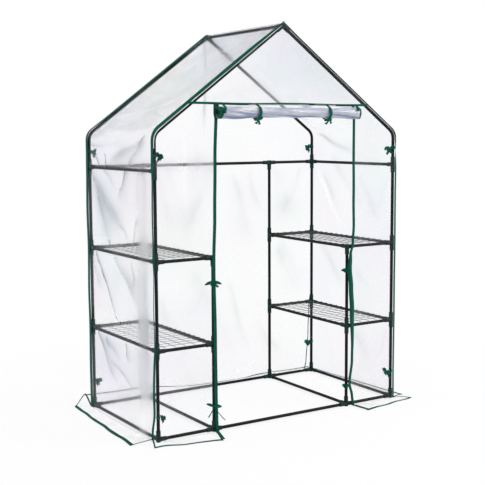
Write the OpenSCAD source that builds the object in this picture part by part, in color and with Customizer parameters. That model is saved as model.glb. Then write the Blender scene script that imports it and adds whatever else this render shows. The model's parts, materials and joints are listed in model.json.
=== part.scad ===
// Walk-in garden greenhouse: a push-fit tube frame with wire shelves under a clear film cover.
// Millimetres. Seen from the door, +X is to the right, +Y to the back and +Z up.
// The origin is on the ground, in the middle of the frame.

/* [Frame] */
// Width between the centres of the corner posts
frame_w = 1410; // [1200:10:1900]
// Depth between the centres of the corner posts
frame_d = 714; // [500:2:1200]
// Height from each level of connectors to the next
tier_pitch = 415; // [320:5:480]
// Height of the eaves corner above the eaves rail, on the tube's centre line
eave_rise = 165; // [120:5:260]
// Height of the ridge tube above the eaves corner
roof_rise = 516; // [400:2:640]
// Radius of the bend at the eaves, on the tube's centre line
bend_r = 60; // [40:5:100]

/* [Tubes] */
// Outside diameter of the frame tube
tube_d = 16; // [12:0.5:22]
// Wall of the frame tube
tube_wall = 0.5; // [0.4:0.1:2]
// Gap at the joint between a bent tube and the straight one after it
joint_gap = 0.2; // [0.1:0.1:0.5]

/* [Connectors] */
// Wall of a socket
socket_wall = 2.35; // [1.5:0.05:4]
// Clearance between a tube and its socket, on the radius
socket_fit = 0.15; // [0.05:0.05:0.4]
// From the middle of a connector to the bottom of its sockets
socket_stop = 14; // [12:0.5:20]
// From the middle of a connector to the mouth of its sockets
socket_len = 40; // [30:1:60]
// How much thicker the upright sleeve is than the arms, on the radius
hub_step = 0.5; // [0.2:0.1:2]
// Radius of the webs in the corners between sockets
web_r = 9; // [5:0.5:15]
// Thickness of those webs
web_t = 5; // [3:0.5:9]
// How far the foot of a base connector stands below its arms
foot_lift = 1.5; // [0.5:0.5:6]

/* [Shelves] */
// Width of a shelf between the centres of its long tubes
shelf_w = 302; // [240:2:380]
// Diameter of the shelf wire
wire_d = 2.2; // [1.6:0.1:4]
// Spacing of the wires that cross a shelf
cross_pitch = 47; // [20:1:60]
// Spacing of the wires that run along a shelf
long_pitch = 50; // [30:1:80]
// Clearance between the wires and the tubes that carry them
wire_fit = 0.2; // [0.1:0.05:0.5]
// How far the end of a cross wire is hooked round its tube, in degrees
hook_turn = 100; // [60:5:150]
// Share of the wire's diameter by which crossing wires stand apart
weld_offset = 0.7; // [0.5:0.05:0.9]

/* [Cover] */
// Thickness of the film
film_t = 0.2; // [0.1:0.05:1]
// Clearance between the film and the connectors that it lies on
film_gap = 0.3; // [0.1:0.1:1]
// Height of the seam over the door above the eaves corner
head_rise = 142; // [80:2:190]
// Width of the flaps that lie on the ground
skirt_w = 130; // [60:5:250]
// How much further each outer corner of a flap reaches than its inner one
skirt_splay = 40; // [0:5:60]
// Diameter of the piping along the edges of the cover
piping_d = 5; // [3:0.5:8]

/* [Door] */
// Width of the zip tape on each side of the doorway
tape_w = 16; // [10:1:30]
// Thickness of the tapes
tape_t = 1; // [0.5:0.1:2]
// Diameter of the rolled-up door
roll_d = 54; // [46:1:80]
// Diameter of the hollow in the middle of the roll
roll_core_d = 12; // [8:1:24]
// From the seam down to the middle of the roll
roll_drop = 42; // [38:1:70]
// How far the roll hangs to the right of the middle
roll_shift = 30; // [-40:5:40]
// Distance between the two ties that hold the roll
tie_pitch = 416; // [200:4:600]
// Width of a tie
tie_w = 15; // [8:1:30]
// Where a tie ends under the roll, in degrees from the back of the roll and over its top
tie_turn = 310; // [270:5:340]

/* [Hidden] */

$fn = 64;
steel_colour = "#2b3032";
plastic_colour = "#1f3a36";
wire_colour = "#3c4143";
film_colour = [0.92, 0.94, 0.96, 0.3];
trim_colour = "#0f5540";

LEFT = -1;
RIGHT = 1;
FRONT = -1;
BACK = 1;
BASE = 0;
LOWER = BASE + 1;
UPPER = LOWER + 1;
EAVE = UPPER + 1;

half_w = frame_w / 2;
half_d = frame_d / 2;
tube_r = tube_d / 2;
wire_r = wire_d / 2;
piping_r = piping_d / 2;
roll_r = roll_d / 2;

// Sockets, and the height of the base rails that they give
bore_r = tube_r + socket_fit;
arm_r = bore_r + socket_wall;
hub_r = arm_r + hub_step;
base_z = arm_r + foot_lift;

// Roof: its slope, the turn of the bend and the run from bend to corner
eave_z = base_z + EAVE * tier_pitch + eave_rise;
ridge_z = eave_z + roof_rise;
slope = atan2(roof_rise, half_w);
slope_len = half_w / cos(slope);
turn = 90 - slope;
bend_run = bend_r * tan(turn / 2);
bend_centre = [-half_w + bend_r, eave_z - bend_run];
arc_steps = 8;

// Shelves: where the inner posts stand, and the height of the wires over a tube's centre
inner_x = half_w - shelf_w;
wire_lift = tube_r + wire_fit + wire_r;
wire_keep_off = socket_len + 4 * wire_d;
wire_sides = 6;

// Cover: distances from the centre lines of the tubes to its faces
film_in = hub_r + film_gap;
film_out = film_in + film_t;
piping_out = film_out + (piping_r + film_gap) / sqrt(2);
seam_z = eave_z + head_rise;
tape_top = seam_z - piping_r - film_gap;
door_edge = inner_x - tape_w / 2;

// Roll: the door's film hangs before the tapes, and its length sets the pitch of the spiral
door_y = -(half_d + film_out + tape_t + film_gap);
roll_centre = [door_y - roll_r, seam_z - roll_drop];
roll_len = 2 * inner_x + tape_w;
roll_pitch = PI * (pow(roll_r, 2) - pow(roll_core_d / 2, 2)) / seam_z;
roll_turns = (roll_r - roll_core_d / 2) / roll_pitch;
roll_step = 20;

// Middles of the connectors, by side, end and level
function level_z(level) = base_z + level * tier_pitch;
function corner(side, end, level) = [side * half_w, end * half_d, level_z(level)];
function inner(side, end, level) = [side * inner_x, end * half_d, level_z(level)];
function cross_row(end, level) =
    [corner(LEFT, end, level), inner(LEFT, end, level),
     inner(RIGHT, end, level), corner(RIGHT, end, level)];

// Half-width of the roof at a height, at a distance outside the rafters' centre line
function roof_half_w(z, out) = (ridge_z + out / cos(slope) - z) / tan(slope);

// Left half of the cover's outline from the ground to the ridge, that far outside the centre lines
function eave_arc(out) = [for (i = [0:arc_steps]) let (a = 180 - turn * i / arc_steps)
    bend_centre + (bend_r + out) * [cos(a), sin(a)]];
function half_outline(out) =
    concat([[-half_w - out, 0]], eave_arc(out), [[0, ridge_z + out / cos(slope)]]);
function outline(out) = let (left = half_outline(out))
    concat(left, [for (i = [len(left) - 2:-1:0]) [-left[i].x, left[i].y]]);

// Places its children with their +Z along a direction
module along(v) {
    rotate([0, acos(v.z / norm(v)), atan2(v.y, v.x)]) children();
}

// Puts a left-hand piece on the given side
module on_side(side) {
    mirror([side == RIGHT ? 1 : 0, 0, 0]) children();
}

// Stands a flat outline, drawn in X and Z, upright with its front face at y
module upright(y, thickness) {
    translate([0, y + thickness, 0]) rotate([90, 0, 0]) linear_extrude(thickness) children();
}

module tube_section() {
    difference() {
        circle(d = tube_d);
        circle(d = tube_d - 2 * tube_wall);
    }
}

// A tube from one connector to the next, seated on the bottoms of their sockets
module tube_between(a, b) {
    run = b - a;
    translate(a) along(run) translate([0, 0, socket_stop])
        linear_extrude(norm(run) - 2 * socket_stop) tube_section();
}

module tube_chain(points) {
    color(steel_colour)
        for (i = [0:len(points) - 2]) tube_between(points[i], points[i + 1]);
}

module base_side_rails() {
    for (side = [LEFT, RIGHT]) tube_chain([corner(side, FRONT, BASE), corner(side, BACK, BASE)]);
}

module base_cross_rails() {
    for (side = [LEFT, RIGHT]) tube_chain([inner(side, FRONT, BASE), inner(side, BACK, BASE)]);
}

module corner_post(side, end) {
    tube_chain([for (level = [BASE:EAVE]) corner(side, end, level)]);
}

// Shelf posts by the door stop at the upper shelf. Those at the back carry on to the eaves rail.
module shelf_posts(end, top) {
    for (side = [LEFT, RIGHT]) tube_chain([for (level = [BASE:top]) inner(side, end, level)]);
}

module side_eave_rails() {
    for (side = [LEFT, RIGHT]) tube_chain([corner(side, FRONT, EAVE), corner(side, BACK, EAVE)]);
}

// A bar with the given section along the eaves line, that far outside the centre lines of the
// tubes: one piece comes up and goes round the bend, and a straight one carries on up the slope
module eave_bar(out, up, run) {
    ring_r = bend_r + out;
    translate([bend_centre.x, 0, bend_centre.y]) {
        rotate([90, 0, 0]) mirror([1, 0, 0]) {
            rotate_extrude(angle = turn) translate([ring_r, 0]) children();
            translate([ring_r, 0, 0]) rotate([90, 0, 0]) linear_extrude(up) children();
        }
        rotate([0, turn, 0]) translate([-ring_r, 0, joint_gap])
            linear_extrude(run - joint_gap) children();
    }
}

// A rafter stands in the eaves connector and ends in the ridge connector
module rafter(side, end) {
    up = bend_centre.y - level_z(EAVE) - socket_stop;
    run = slope_len - bend_run - socket_stop;
    color(steel_colour) translate([0, end * half_d, 0]) on_side(side)
        eave_bar(0, up, run) tube_section();
}

module rafters(end) {
    for (side = [LEFT, RIGHT]) rafter(side, end);
}

module ridge_tube() {
    tube_chain([[0, -half_d, ridge_z], [0, half_d, ridge_z]]);
}

module shelf_frame(side, level) {
    for (end = [FRONT, BACK]) tube_chain([corner(side, end, level), inner(side, end, level)]);
    tube_chain([corner(side, FRONT, level), corner(side, BACK, level)]);
    tube_chain([inner(side, FRONT, level), inner(side, BACK, level)]);
}

// Centres of as many wires as fit in a span at about the given spacing
function wire_rows(span, pitch) = let (gaps = max(1, floor(span / pitch)))
    [for (i = [0:gaps]) -span / 2 + i * span / gaps];

// A cross wire lies on both long tubes, and each end is hooked down round its tube
module cross_wire() {
    translate([-shelf_w / 2, 0, wire_lift]) rotate([0, 90, 0])
        cylinder(r = wire_r, h = shelf_w, $fn = wire_sides);
    for (end = [0, 1]) mirror([end, 0, 0]) translate([shelf_w / 2, 0, 0])
        rotate([90, 0, 0]) rotate([0, 0, 90 - hook_turn]) rotate_extrude(angle = hook_turn)
            translate([wire_lift, 0]) circle(r = wire_r, $fn = wire_sides);
}

module long_wire() {
    translate([0, half_d, wire_lift + weld_offset * wire_d]) rotate([90, 0, 0])
        cylinder(r = wire_r, h = frame_d, $fn = wire_sides);
}

module shelf_mesh(side, level) {
    color(wire_colour) translate([side * (half_w + inner_x) / 2, 0, level_z(level)]) {
        for (y = wire_rows(frame_d - 2 * wire_keep_off, cross_pitch))
            translate([0, y, 0]) cross_wire();
        for (x = wire_rows(shelf_w - 2 * wire_keep_off, long_pitch))
            translate([x, 0, 0]) long_wire();
    }
}

// A hollow-sided web in the corner between a socket along +X and one along +Y
module web() {
    reach = arm_r + web_r;
    linear_extrude(web_t, center = true) difference() {
        square(reach);
        translate([reach, reach]) circle(r = web_r);
    }
}

module socket_bore(v) {
    along(v) translate([0, 0, socket_stop]) cylinder(r = bore_r, h = socket_len);
}

// A moulded connector: an upright sleeve, with a socket at each open end, and arms to the sides.
// ends holds the open ends of the sleeve, and x_arms and y_arms the signs of the arms.
module connector(ends, x_arms, y_arms) {
    top = search(1, ends) == [] ? base_z : socket_len;
    bottom = search(-1, ends) == [] ? base_z : socket_len;
    arms = concat([for (s = x_arms) [s, 0, 0]], [for (s = y_arms) [0, s, 0]]);
    color(plastic_colour) difference() {
        union() {
            translate([0, 0, -bottom]) cylinder(r = hub_r, h = bottom + top);
            for (v = arms) along(v) cylinder(r = arm_r, h = socket_len);
            for (v = arms, e = ends)
                rotate([0, 0, atan2(v.y, v.x)]) mirror([0, 0, e < 0 ? 1 : 0])
                    rotate([90, 0, 0]) web();
            for (x = x_arms, y = y_arms)
                mirror([x < 0 ? 1 : 0, 0, 0]) mirror([0, y < 0 ? 1 : 0, 0]) web();
        }
        for (e = ends) socket_bore([0, 0, e]);
        for (v = arms) socket_bore(v);
    }
}

// Connectors at the corner posts reach across the depth, and towards the middle where a rail runs
// there. front_rail says whether one does at the front.
module corner_connectors(level, ends, front_rail = true) {
    for (side = [LEFT, RIGHT], end = [FRONT, BACK])
        translate(corner(side, end, level))
            connector(ends, end == BACK || front_rail ? [-side] : [], [-end]);
}

module base_connectors() {
    corner_connectors(BASE, [1]);
    for (side = [LEFT, RIGHT], end = [FRONT, BACK])
        translate(inner(side, end, BASE)) connector([1], [-1, 1], [-end]);
}

// The shelf posts by the door end at the upper shelf, so their connectors there have a closed top
module shelf_connectors(level, front_ends) {
    corner_connectors(level, [-1, 1]);
    for (side = [LEFT, RIGHT]) {
        translate(inner(side, FRONT, level)) connector(front_ends, [side], [BACK]);
        translate(inner(side, BACK, level)) connector([-1, 1], [side], [FRONT]);
    }
}

// The doorway has no rail at the eaves, so the front corners have no arm along X there
module eave_connectors() {
    corner_connectors(EAVE, [-1, 1], front_rail = false);
    for (side = [LEFT, RIGHT])
        translate(inner(side, BACK, EAVE)) connector([-1], [-1, 1], []);
}

module ridge_connector(end) {
    slopes = [for (side = [LEFT, RIGHT]) [side * cos(slope), 0, -sin(slope)]];
    color(plastic_colour) translate([0, end * half_d, ridge_z]) difference() {
        union() {
            along([0, -end, 0]) translate([0, 0, -hub_r]) cylinder(r = hub_r, h = hub_r + socket_len);
            for (v = slopes) along(v) cylinder(r = arm_r, h = socket_len);
        }
        socket_bore([0, -end, 0]);
        for (v = slopes) socket_bore(v);
    }
}

module ridge_connectors() {
    for (end = [FRONT, BACK]) ridge_connector(end);
}

// Film over the sides and the roof runs from the inner face of the front to that of the back
module side_film() {
    upright(-half_d - film_in, frame_d + 2 * film_in) children();
}

module wall_film(side) {
    color(film_colour) on_side(side) side_film()
        translate([-half_w - film_out, 0]) square([film_t, bend_centre.y]);
}

module eave_films() {
    color(film_colour) for (side = [LEFT, RIGHT]) on_side(side)
        translate([bend_centre.x, half_d + film_in, bend_centre.y]) rotate([90, 0, 0])
            rotate([0, 0, 90 + slope]) rotate_extrude(angle = turn)
                translate([bend_r + film_in, 0]) square([film_t, frame_d + 2 * film_in]);
}

module roof_film(side) {
    outward = [-sin(slope), cos(slope)];
    start = bend_centre + bend_r * outward;
    color(film_colour) on_side(side) side_film() polygon([
        start + film_in * outward,
        start + film_out * outward,
        [0, ridge_z + film_out / cos(slope)],
        [0, ridge_z + film_in / cos(slope)]
    ]);
}

module back_wall_film() {
    color(film_colour) upright(half_d + film_in, film_t) polygon(outline(film_out));
}

module front_film() {
    color(film_colour) upright(-half_d - film_out, film_t) intersection() {
        polygon(outline(film_out));
        children();
    }
}

module front_gable_film() {
    front_film() translate([-frame_w, seam_z]) square([2 * frame_w, roof_rise]);
}

module front_side_film(side) {
    on_side(side) front_film() translate([-door_edge - frame_w, 0]) square([frame_w, seam_z]);
}

// A flap on the ground, outside a straight edge that runs along X from a to b
module skirt(a, b, a_splay, b_splay) {
    linear_extrude(film_t)
        polygon([[a, 0], [b, 0], [b + b_splay, -skirt_w], [a - a_splay, -skirt_w]]);
}

module ground_skirts() {
    edge_x = half_w + film_out;
    edge_y = half_d + film_out;
    color(film_colour) {
        for (side = [LEFT, RIGHT]) on_side(side) {
            translate([-edge_x, 0, 0]) rotate([0, 0, -90])
                skirt(-half_d - film_in, half_d + film_in, skirt_splay, skirt_splay);
            translate([0, -edge_y, 0]) skirt(-edge_x, -door_edge, skirt_splay, 0);
        }
        translate([0, edge_y, 0]) mirror([0, 1, 0])
            skirt(-edge_x, edge_x, skirt_splay, skirt_splay);
    }
}

// The door's film hangs from the seam, and is rolled up in front of it in a spiral
module rolled_door() {
    function turn_point(a, inset) =
        roll_centre + (roll_r - roll_pitch * a / 360 - inset) * [cos(a), -sin(a)];
    steps = floor(360 * roll_turns / roll_step);
    color(film_colour) translate([roll_shift - roll_len / 2, 0, 0]) rotate([90, 0, 90])
        linear_extrude(roll_len) polygon(concat(
            [[door_y - film_t, tape_top], [door_y, tape_top]],
            [for (i = [0:steps]) turn_point(i * roll_step, 0)],
            [for (i = [steps:-1:0]) turn_point(i * roll_step, film_t)]
        ));
}

// A tie comes down from the seam over the front of the roll and round under it
module roll_tie() {
    grip_r = roll_r + film_gap;
    top = [door_y - film_t - film_gap, tape_top];
    reach = top - roll_centre;
    lean = atan2(reach.y, reach.x) + acos((grip_r + tape_t) / norm(reach));
    run = sqrt(pow(norm(reach), 2) - pow(grip_r + tape_t, 2));
    rotate([90, 0, 90]) translate(roll_centre) rotate([0, 0, lean]) {
        rotate_extrude(angle = tie_turn - lean)
            translate([grip_r, -tie_w / 2]) square([tape_t, tie_w]);
        translate([grip_r, -run, -tie_w / 2]) cube([tape_t, run, tie_w]);
    }
}

module roll_ties() {
    color(trim_colour) for (side = [LEFT, RIGHT])
        translate([roll_shift + side * tie_pitch / 2, 0, 0]) roll_tie();
}

module door_tapes() {
    foot_z = film_t + film_gap;
    color(trim_colour) for (side = [LEFT, RIGHT]) upright(-half_d - film_out - tape_t, tape_t)
        translate([side * inner_x - tape_w / 2, foot_z]) square([tape_w, tape_top - foot_z]);
}

module door_head_piping() {
    reach = roof_half_w(seam_z + piping_r, film_out);
    color(trim_colour) translate([-reach, -half_d - film_out - film_gap - piping_r, seam_z])
        rotate([0, 90, 0]) cylinder(r = piping_r, h = 2 * reach);
}

// Piping along one end of the cover: up the wall, round the eaves and up to the ridge
module edge_piping(end) {
    foot_z = film_t + film_gap;
    color(trim_colour) for (side = [LEFT, RIGHT]) on_side(side)
        translate([0, end * (half_d + piping_out), 0]) intersection() {
            eave_bar(piping_out, bend_centre.y - foot_z, slope_len + piping_out) circle(r = piping_r);
            translate([-frame_w, -piping_d, 0]) cube([frame_w, 2 * piping_d, 2 * ridge_z]);
        }
}

tube_chain(cross_row(FRONT, BASE));  // base_front_rail
tube_chain(cross_row(BACK, BASE));  // base_back_rail
base_side_rails();
base_cross_rails();
corner_post(LEFT, FRONT);  // front_left_post
corner_post(RIGHT, FRONT);  // front_right_post
corner_post(LEFT, BACK);  // back_left_post
corner_post(RIGHT, BACK);  // back_right_post
shelf_posts(FRONT, UPPER);  // front_shelf_posts
shelf_posts(BACK, EAVE);  // back_shelf_posts
tube_chain(cross_row(BACK, EAVE));  // back_eave_rail
side_eave_rails();
rafters(FRONT);  // front_rafters
rafters(BACK);  // back_rafters
ridge_tube();
shelf_frame(LEFT, LOWER);  // shelf_frame_left_lower
shelf_frame(LEFT, UPPER);  // shelf_frame_left_upper
shelf_frame(RIGHT, LOWER);  // shelf_frame_right_lower
shelf_frame(RIGHT, UPPER);  // shelf_frame_right_upper
shelf_mesh(LEFT, LOWER);  // shelf_mesh_left_lower
shelf_mesh(LEFT, UPPER);  // shelf_mesh_left_upper
shelf_mesh(RIGHT, LOWER);  // shelf_mesh_right_lower
shelf_mesh(RIGHT, UPPER);  // shelf_mesh_right_upper
base_connectors();
shelf_connectors(LOWER, [-1, 1]);  // lower_shelf_connectors
shelf_connectors(UPPER, [-1]);  // upper_shelf_connectors
eave_connectors();
ridge_connectors();
wall_film(LEFT);  // left_wall_film
wall_film(RIGHT);  // right_wall_film
eave_films();
roof_film(LEFT);  // left_roof_film
roof_film(RIGHT);  // right_roof_film
back_wall_film();
front_gable_film();
front_side_film(LEFT);  // front_left_film
front_side_film(RIGHT);  // front_right_film
ground_skirts();
rolled_door();
roll_ties();
door_tapes();
door_head_piping();
edge_piping(FRONT);  // front_edge_piping
edge_piping(BACK);  // back_edge_piping
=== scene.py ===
"""Looks of a walk-in film greenhouse: creased clear film, bound seams, zip tapes, tie bows and a
rolled-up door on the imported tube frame. Metres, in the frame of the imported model."""

import functools
import json
import math

import bpy
import numpy as np
from mathutils import Matrix, Vector


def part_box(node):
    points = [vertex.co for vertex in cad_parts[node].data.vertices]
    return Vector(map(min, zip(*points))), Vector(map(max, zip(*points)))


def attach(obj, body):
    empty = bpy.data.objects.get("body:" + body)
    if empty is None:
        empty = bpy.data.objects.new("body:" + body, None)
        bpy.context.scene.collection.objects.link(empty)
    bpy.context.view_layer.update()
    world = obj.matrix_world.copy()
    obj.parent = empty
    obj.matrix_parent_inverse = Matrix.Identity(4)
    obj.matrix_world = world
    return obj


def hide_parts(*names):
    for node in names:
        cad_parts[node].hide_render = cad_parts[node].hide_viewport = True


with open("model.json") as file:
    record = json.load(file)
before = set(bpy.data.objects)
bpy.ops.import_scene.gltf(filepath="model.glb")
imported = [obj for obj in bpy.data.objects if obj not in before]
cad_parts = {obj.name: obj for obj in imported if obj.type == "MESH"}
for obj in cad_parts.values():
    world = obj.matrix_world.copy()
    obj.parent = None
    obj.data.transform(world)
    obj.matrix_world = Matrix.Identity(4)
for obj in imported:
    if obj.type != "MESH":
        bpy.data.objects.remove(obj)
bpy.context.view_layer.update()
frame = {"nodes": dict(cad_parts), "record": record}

bl_info = {
    "name": "Film greenhouse",
    "version": (1, 0, 0),
    "blender": (4, 5, 0),
    "location": "3D View > Sidebar > Greenhouse",
    "description": "Dresses a tube frame with creased film, bound seams, tie bows and a rolled-up door",
    "category": "Object",
}

LEFT, RIGHT = -1, 1
FRONT, BACK = -1, 1

# The cover's lines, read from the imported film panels
WALL_X = -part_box("left_wall_film")[0].x
WALL_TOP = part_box("left_wall_film")[1].z
END_Y = -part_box("front_left_film")[0].y
SEAM_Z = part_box("front_gable_film")[0].z
APEX_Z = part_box("front_gable_film")[1].z
DOOR_X = -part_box("front_left_film")[1].x
ROOF_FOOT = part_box("left_roof_film")[0]
SLOPE = math.atan2(APEX_Z - ROOF_FOOT.z, -ROOF_FOOT.x)
TURN = math.pi / 2 - SLOPE
EAVE_R = (APEX_Z - WALL_TOP - WALL_X * math.tan(SLOPE)) * math.cos(SLOPE) / (1 - math.sin(SLOPE))
EAVE_RUN = WALL_TOP + EAVE_R * TURN
ROOF_RUN = (WALL_X - EAVE_R * (1 - math.sin(SLOPE))) / math.cos(SLOPE)
COVER_RUN = EAVE_RUN + ROOF_RUN
SEAM_RUN = EAVE_RUN + (SEAM_Z - WALL_TOP - EAVE_R * math.cos(SLOPE)) / math.sin(SLOPE)


def middle(node, axis):
    """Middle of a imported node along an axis."""
    low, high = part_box(node)
    return (low[axis] + high[axis]) / 2


# The frame's lines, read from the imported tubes
POST_X = middle("front_right_post", 0)
POST_Y = middle("back_right_post", 1)
TUBE_R = (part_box("ridge_tube")[1].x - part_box("ridge_tube")[0].x) / 2
INNER_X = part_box("base_cross_rails")[1].x - TUBE_R
LEVELS = [middle(node, 2) for node in (
    "base_front_rail", "shelf_frame_left_lower", "shelf_frame_left_upper", "back_eave_rail")]

# The folds have the heights that are listed below at this slack
FOLD_SLACK = 0.011
# The sheets' lower edges are this far off the ground
FLOOR_GAP = 0.0006
# Mesh squares of the tapes are about this long
TAPE_STEP = 0.012
# Ties are thinner than the other tapes
TIE_THICKNESS = 0.0009
# Points closer than this become one
MERGE = 0.00002
# The zips turn out over the flaps this far above the ground
ZIP_GAP = 0.004
# Squares of the rolled door's mesh, along the roll and in each turn of it
ROLL_COLUMNS, TURN_ROWS = 96, 24


def linear(code):
    """An sRGB hex colour as linear red, green and blue."""
    parts = [int(code[i:i + 2], 16) / 255 for i in (1, 3, 5)]
    return tuple(c / 12.92 if c <= 0.04045 else ((c + 0.055) / 1.055) ** 2.4 for c in parts)


class FilmSettings(bpy.types.PropertyGroup):
    """Clear film of the cover."""
    mesh_step: bpy.props.FloatProperty(
        name="Mesh step", description="Size of the mesh squares of the sheets",
        default=0.009, unit="LENGTH")
    slack: bpy.props.FloatProperty(
        name="Slack", description="Height of the deepest folds", default=0.010, unit="LENGTH")
    roof_sag: bpy.props.FloatProperty(
        name="Roof sag", description="How far the roof hangs between its rafters",
        default=0.012, unit="LENGTH")
    colour: bpy.props.FloatVectorProperty(
        name="Film colour", description="Colour of the light that comes through the film",
        default=linear("#E5E7ED"), size=3, subtype="COLOR")
    # This colour is painted shade: the grey of the sheets along their folds and up the roof
    fold_shade_colour: bpy.props.FloatVectorProperty(
        name="Fold colour", description="Colour of the film along its folds",
        default=linear("#A0A7AC"), size=3, subtype="COLOR")
    haze: bpy.props.FloatProperty(
        name="Haze", description="Share of light that the film scatters, seen square on",
        default=0.19, subtype="FACTOR")
    edge_haze: bpy.props.FloatProperty(
        name="Edge haze", description="Haze added where the film is seen at a slant",
        default=0.8)
    spread: bpy.props.FloatProperty(
        name="Spread", description="How much the film's grain scatters the view to each side", default=0.06)


class TrimSettings(bpy.types.PropertyGroup):
    """Green tapes: bindings, hems, zips and ties."""
    binding_width: bpy.props.FloatProperty(
        name="Binding width", description="Width of the bound seams", default=0.014, unit="LENGTH")
    hem_width: bpy.props.FloatProperty(
        name="Hem width", description="Width of the hems of the ground flaps", default=0.013, unit="LENGTH")
    zip_width: bpy.props.FloatProperty(
        name="Zip tape width", description="Width of the zip tapes", default=0.016, unit="LENGTH")
    tie_width: bpy.props.FloatProperty(
        name="Tie width", description="Width of the tie tapes", default=0.013, unit="LENGTH")
    thickness: bpy.props.FloatProperty(
        name="Tape thickness", description="Thickness of a folded tape", default=0.0014, unit="LENGTH")
    tooth_pitch: bpy.props.FloatProperty(
        name="Zip tooth pitch", description="Spacing of the zip's teeth", default=0.003, unit="LENGTH")
    colour: bpy.props.FloatVectorProperty(
        name="Tape colour", description="Colour of the woven tape",
        default=linear("#00473A"), size=3, subtype="COLOR")


class FrameSettings(bpy.types.PropertyGroup):
    """Finishes of the tubes, wires and connectors."""
    tube_colour: bpy.props.FloatVectorProperty(
        name="Tube colour", description="Colour of the coated tubes",
        default=linear("#090F10"), size=3, subtype="COLOR")
    wire_colour: bpy.props.FloatVectorProperty(
        name="Wire colour", description="Colour of the coated shelf wires",
        default=linear("#1A2021"), size=3, subtype="COLOR")
    connector_colour: bpy.props.FloatVectorProperty(
        name="Connector colour", description="Colour of the moulded connectors",
        default=linear("#081A17"), size=3, subtype="COLOR")


class StageSettings(bpy.types.PropertyGroup):
    """Camera and light."""
    camera_place: bpy.props.FloatVectorProperty(
        name="Camera place", description="Where the camera stands",
        default=(-2.7898, -4.3596, 1.4345), size=3, subtype="TRANSLATION")
    azimuth: bpy.props.FloatProperty(
        name="Azimuth", description="Turn of the view about the upright", default=math.radians(-32.54),
        subtype="ANGLE")
    elevation: bpy.props.FloatProperty(
        name="Elevation", description="How far the view looks down", default=math.radians(6.38),
        subtype="ANGLE")
    roll: bpy.props.FloatProperty(
        name="Roll", description="Turn of the view about its own line", default=math.radians(-0.29),
        subtype="ANGLE")
    lens: bpy.props.FloatProperty(
        name="Lens", description="Focal length in millimetres on a 36 mm sensor", default=73.83)
    sky: bpy.props.FloatProperty(
        name="Sky light", description="Strength of the even light from all round", default=0.72)
    key: bpy.props.FloatProperty(
        name="Key light", description="Power of the soft lamp at the right", default=150.0, subtype="POWER")


def deselect():
    """Leaves edit mode and selects nothing."""
    if bpy.context.object and bpy.context.object.mode != "OBJECT":
        bpy.ops.object.mode_set(mode="OBJECT")
    bpy.ops.object.select_all(action="DESELECT")


def select_only(*pieces):
    """Selects these pieces, the last of them active."""
    deselect()
    for piece in pieces:
        piece.select_set(True)
    bpy.context.view_layer.objects.active = pieces[-1]


def in_edit_mode(piece, *steps):
    """Runs edit-mode operators on the whole of a piece."""
    select_only(piece)
    bpy.ops.object.mode_set(mode="EDIT")
    bpy.ops.mesh.select_all(action="SELECT")
    for step, settings in steps:
        step(**settings)
    bpy.ops.object.mode_set(mode="OBJECT")


def apply_modifier(piece, kind, **settings):
    """Adds a modifier with its settings and applies it."""
    select_only(piece)
    modifier = piece.modifiers.new(kind.title(), kind)
    for name, value in settings.items():
        setattr(modifier, name, value)
    bpy.ops.object.modifier_apply(modifier=modifier.name)


def join(name, pieces):
    """Makes one piece of several."""
    select_only(*pieces)
    if len(pieces) > 1:
        bpy.ops.object.join()
    bpy.context.object.name = name
    return bpy.context.object


def mapped_grid(name, columns, rows, place, outward=None, size=(1.0, 1.0)):
    """A grid whose points are moved to place(u, v), with u and v from 0 to 1 across and along it.
    outward is the direction its faces have to look in. Its UV map is in metres of size. A fourth value from
    place is kept as an attribute that says how sharply the sheet is creased and how much painted shade it
    has, a painted highlight below zero, and a fifth as milk, which says how much cloudier it is there."""
    deselect()
    bpy.ops.mesh.primitive_grid_add(x_subdivisions=columns, y_subdivisions=rows, size=2)
    piece = bpy.context.object
    piece.name = name
    mesh = piece.data
    flat = np.empty(len(mesh.vertices) * 3)
    mesh.vertices.foreach_get("co", flat)
    u, v = ((flat.reshape(-1, 3)[:, :2] + 1) / 2).T
    x, y, z, *marks = (np.broadcast_to(c, u.shape) for c in place(u, v))
    mesh.vertices.foreach_set("co", np.stack([x, y, z], axis=1).ravel())
    for word, least, mark in zip(("fold_and_shade", "milk"), (-0.3, -1), marks):
        mesh.attributes.new(word, "FLOAT", "POINT").data.foreach_set("value", np.clip(mark, least, 1))
    corners = np.empty(len(mesh.loops), int)
    mesh.loops.foreach_get("vertex_index", corners)
    spread = np.stack([u[corners] * size[0], v[corners] * size[1]], axis=1)
    mesh.uv_layers.active.data.foreach_set("uv", spread.ravel())
    mesh.update()
    if outward is not None:
        face = mesh.polygons[len(mesh.polygons) // 2]
        if face.normal.dot(Vector(outward)) < 0:
            in_edit_mode(piece, (bpy.ops.mesh.flip_normals, {}))
    select_only(piece)
    bpy.ops.object.shade_smooth()
    return piece


def strip(name, rows, path, across, width, thickness):
    """A tape of that width and thickness along path(v). Its width lies along across, which is one
    direction or a function of v."""
    def place(u, v):
        side = across(v) if callable(across) else across
        return [m + (u - 0.5) * width * s for m, s in zip(path(v), side)]

    line = np.stack(np.broadcast_arrays(*path(np.linspace(0, 1, 4 * rows))), axis=1)
    length = np.linalg.norm(np.diff(line, axis=0), axis=1).sum()
    piece = mapped_grid(name, 2, rows, place, size=(width, length))
    apply_modifier(piece, "SOLIDIFY", thickness=thickness, offset=0.0)
    apply_modifier(piece, "BEVEL", width=thickness * 0.3, segments=1, limit_method="ANGLE",
                   angle_limit=math.radians(50))
    return piece


def ease(x):
    """Runs smoothly from 0 at 0 to 1 at 1."""
    x = np.clip(x, 0, 1)
    return x * x * (3 - 2 * x)


def through(keys, t):
    """A smooth line through (place, value) keys."""
    places, values = np.array(sorted(keys)).T
    i = np.clip(np.searchsorted(places, t) - 1, 0, len(places) - 2)
    share = ease((t - places[i]) / (places[i + 1] - places[i]))
    return values[i] + share * (values[i + 1] - values[i])


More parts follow.
